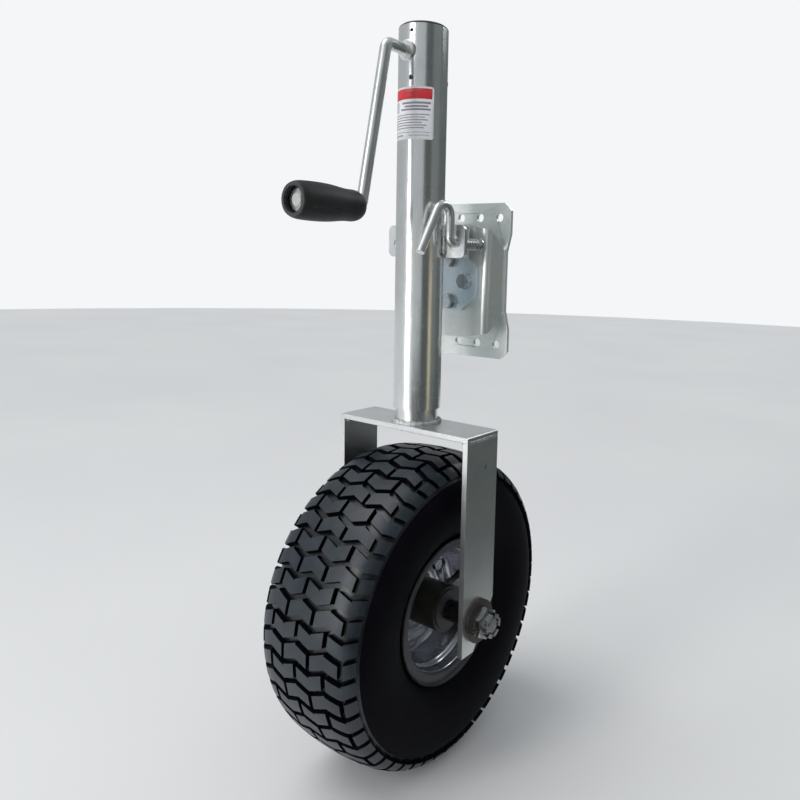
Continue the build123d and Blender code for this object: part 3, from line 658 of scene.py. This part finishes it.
# ------------------------------------------------------------------ spring
def build_spring():
    """Coil spring with closed ends between the bush and the pin's collar."""
    y0, y1 = -82.1, -51.9
    radius, wire, coils = 6.4, 0.8, 7
    verts = []
    count, ring = coils * 28, 8
    for i in range(count + 1):
        t = i / count
        turn = 2 * math.pi * coils * t
        along = y0 + wire + (y1 - y0 - 2 * wire) * (t - 0.045 * math.sin(2 * math.pi * t))
        out = Vector((math.cos(turn), 0, math.sin(turn)))
        centre = Vector((pin_line, along, pin_line)) + out * radius
        for k in range(ring):
            a = 2 * math.pi * k / ring
            verts.append(tuple(centre + out * wire * math.cos(a) + Vector((0, 1, 0)) * wire * math.sin(a)))
    faces = grid_faces(count + 1, ring, False, True)
    faces += [tuple(range(ring))[::-1], tuple(range(count * ring, (count + 1) * ring))]
    mesh = bpy.data.meshes.new("lock_spring")
    mesh.from_pydata([(x * mm, y * mm, z * mm) for x, y, z in verts], [], faces)
    mesh.materials.append(finishes["spring_steel"])
    mesh.shade_smooth()
    obj = bpy.data.objects.new("lock_spring", mesh)
    bpy.context.scene.collection.objects.link(obj)
    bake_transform(obj)
    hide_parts("pin_spring")


build_spring()


# ------------------------------------------------------------------ label
def build_label():
    """Curved film with rounded corners; red band and grey bars are printed patches just above it."""
    half = math.radians(67) * label_radius
    low, high = 159.5, 217.0
    film, ink = label_radius + 0.02, label_radius + 0.055
    corner_turns = [1 - math.cos(math.radians(a)) for a in (0, 22, 45, 67, 90)]

    def wrap(u, z, radius):
        turn = u / label_radius
        return (radius * math.sin(turn), tube_y - radius * math.cos(turn), z)

    verts, faces, kinds = [], [], []

    def patch(u0, u1, z0, z1, radius, kind, corner=0.0):
        columns = max(2, int((u1 - u0) / 1.6))
        stops = [u0 + (u1 - u0) * i / columns for i in range(columns + 1)]
        if corner:
            stops = sorted(set(stops + [u0 + corner * c for c in corner_turns]
                               + [u1 - corner * c for c in corner_turns]))
        first = len(verts)
        for u in stops:
            inset = 0.0
            for edge, way in ((u0, 1), (u1, -1)):
                reach = (u - edge) * way
                if corner and reach < corner:
                    inset = corner - math.sqrt(max(0.0, corner ** 2 - (corner - reach) ** 2))
            verts.extend([wrap(u, z0 + inset, radius), wrap(u, z1 - inset, radius)])
        for i in range(len(stops) - 1):
            a = first + 2 * i
            faces.append((a, a + 2, a + 3, a + 1))
            kinds.append(kind)

    patch(-half, half, low, high, film, 0, corner=3.0)
    patch(-half + 2.2, half - 2.2, 203.5, 214.8, ink, 1, corner=1.2)
    patch(-6.0, half - 4.0, 198.2, 200.4, ink, 2)
    patch(-2.0, half - 7.0, 194.6, 196.6, ink, 2)
    patch(-8.0, half - 4.0, 191.2, 193.2, ink, 2)
    patch(-half + 4, -12.0, 190.0, 201.0, ink, 3, corner=0.8)
    lengths = (0.0, 5.5, 2.0, 9.0, 3.5, 6.5)
    for i in range(6):
        z = 186.0 - 2.9 * i
        patch(-half + 4, half - 5.0 - lengths[i], z, z + 1.05, ink, 2)
    patch(-half + 4, half - 4, 167.0, 167.5, ink, 2)
    patch(-half + 4, -4.0, 163.2, 164.6, ink, 2)
    patch(4.0, half - 6.0, 163.2, 164.6, ink, 3)
    obj = piece("data_label", "jack", "label_film", verts, faces, ["label"])
    obj.data.materials.append(print_film("label_red", (0.62, 0.03, 0.04)))
    obj.data.materials.append(print_film("label_grey", (0.24, 0.25, 0.28)))
    obj.data.materials.append(print_film("label_pale_grey", (0.50, 0.52, 0.56)))
    for polygon, kind in zip(obj.data.polygons, kinds):
        polygon.material_index = kind
    thick = obj.modifiers.new("film", "SOLIDIFY")
    thick.thickness = 0.00008
    thick.offset = -1.0


build_label()


# ------------------------------------------------------------------ eased edges on pressed and cut steel
def ease(node, width):
    """A small round along the sharp edges of a CAD node."""
    obj = nodes[node]
    weld_points = obj.modifiers.new("merge", "WELD")
    weld_points.merge_threshold = 1e-6
    edge = obj.modifiers.new("edge", "BEVEL")
    edge.width = width * mm
    edge.segments = 2
    edge.limit_method = "ANGLE"
    edge.angle_limit = math.radians(35.0)
    edge.use_clamp_overlap = True
    edge.harden_normals = True


eased = {"mounting_plate": 0.5, "pivot_channel": 0.5, "pivot_plate": 0.6, "saddle": 0.5, "fork_plate": 0.6}
for node, width in eased.items():
    ease(node, width)


# ------------------------------------------------------------------ stage
def stage_mesh(name, verts, faces, material, camera=True, glossy=True, diffuse=True, shadow=True):
    """A studio surface that isn't part of the object; the flags say which rays meet it."""
    mesh = bpy.data.meshes.new(name)
    mesh.from_pydata(verts, [], faces)
    mesh.materials.append(material)
    obj = bpy.data.objects.new(name, mesh)
    bpy.context.scene.collection.objects.link(obj)
    obj.visible_camera = camera
    obj.visible_glossy = glossy
    obj.visible_diffuse = diffuse
    obj.visible_transmission = camera
    obj.visible_shadow = shadow
    return obj


def glow(name, colour, strength):
    """Plain emitting surface for the studio."""
    material = bpy.data.materials.new(name)
    material.use_nodes = True
    tree = material.node_tree
    tree.nodes.clear()
    light = tree.nodes.new("ShaderNodeEmission")
    light.inputs["Color"].default_value = (*colour, 1.0)
    light.inputs["Strength"].default_value = strength
    out = tree.nodes.new("ShaderNodeOutputMaterial")
    tree.links.new(light.outputs[0], out.inputs["Surface"])
    return material


def arc_wall(radius, start, end, low, high, steps=24):
    """Standing curtain on an arc about the origin, angles counted from +X towards +Y."""
    verts, faces = [], []
    for i in range(steps + 1):
        turn = math.radians(start + (end - start) * i / steps)
        x, y = radius * math.cos(turn), radius * math.sin(turn)
        verts += [(x, y, low), (x, y, high)]
    faces = [(2 * i, 2 * i + 2, 2 * i + 3, 2 * i + 1) for i in range(steps)]
    return verts, faces


def reflected(name, verts, faces, material):
    """A card that only shows as a reflection in the metal."""
    stage_mesh(name, verts, faces, material, camera=False, diffuse=False, shadow=False)


def build_stage():
    """Pale floor and backdrop, dark and bright cards for the metal to reflect, and a soft sky."""
    reach = 9.0
    quad = [(0, 1, 2, 3)]
    corners = (-reach, -reach), (reach, -reach), (reach, reach), (-reach, reach)
    ground = [(x, y, floor_z) for x, y in corners]
    stage_mesh("floor", ground, quad, floor_material())
    verts, faces = arc_wall(8.0, 0, 360, -0.6, 14.0, 48)
    paper = glow("backdrop_paper", (0.97, 0.98, 1.0), 0.94)
    stage_mesh("backdrop", verts, faces, paper, glossy=False, diffuse=False, shadow=False)
    flags = (("flag_front", -40, -6, 0.10), ("flag_side", -6, 36, 0.19), ("flag_rear", 36, 114, 0.12))
    for name, start, end, tone in flags:
        verts, faces = arc_wall(2.3, start, end, -0.587, 2.4, 12)
        reflected(name, verts, faces, glow(name, (0.90, 1.0, 0.99), tone))
    rug_z = floor_z + 0.002
    rug = [(0.30, -3.0, rug_z), (3.5, -3.0, rug_z), (3.5, 3.0, rug_z), (0.30, 3.0, rug_z)]
    reflected("rug", rug, quad, glow("dark_rug", (0.85, 1.0, 0.98), 0.07))
    card = [(0.0, 1.15, 0.75), (0.7, 1.0, 0.75), (0.7, 1.0, 1.25), (0.0, 1.15, 1.25)]
    reflected("rim_card", card, quad, glow("rim_card", (0.95, 0.98, 1.0), 5.0))
    verts, faces = arc_wall(1.7, -6, 8, -0.58, 0.04, 4)
    reflected("warm_card", verts, faces, glow("warm_card", (1.0, 0.88, 0.62), 0.62))

    world = bpy.data.worlds.new("studio")
    world.use_nodes = True
    background = world.node_tree.nodes["Background"]
    background.inputs["Color"].default_value = (0.93, 0.97, 1.0, 1.0)
    background.inputs["Strength"].default_value = 0.48
    bpy.context.scene.world = world
    bpy.context.scene.view_settings.view_transform = "Standard"


def area_light(name, place, target, width, height, power):
    """Rectangular lamp at a place, facing a target."""
    data = bpy.data.lights.new(name, "AREA")
    data.energy = power
    data.shape = "RECTANGLE"
    data.size = width
    data.size_y = height
    lamp = bpy.data.objects.new(name, data)
    lamp.location = place
    lamp.rotation_mode = "QUATERNION"
    lamp.rotation_quaternion = (Vector(target) - Vector(place)).to_track_quat("-Z", "Y")
    lamp.visible_camera = False
    bpy.context.scene.collection.objects.link(lamp)


def sun_light(name, direction, strength, angle):
    """Broad soft light from one direction; the angle is its spread in degrees."""
    data = bpy.data.lights.new(name, "SUN")
    data.energy = strength
    data.angle = math.radians(angle)
    lamp = bpy.data.objects.new(name, data)
    lamp.rotation_mode = "QUATERNION"
    lamp.rotation_quaternion = Vector(direction).to_track_quat("-Z", "Y")
    bpy.context.scene.collection.objects.link(lamp)


build_stage()
area_light("key", (-0.42, -2.10, 0.25), (0, -0.1, 0.0), width=0.55, height=2.2, power=20.0)
sun_light("sky_window", (0.35, 0.30, -1.0), 0.9, 40.0)
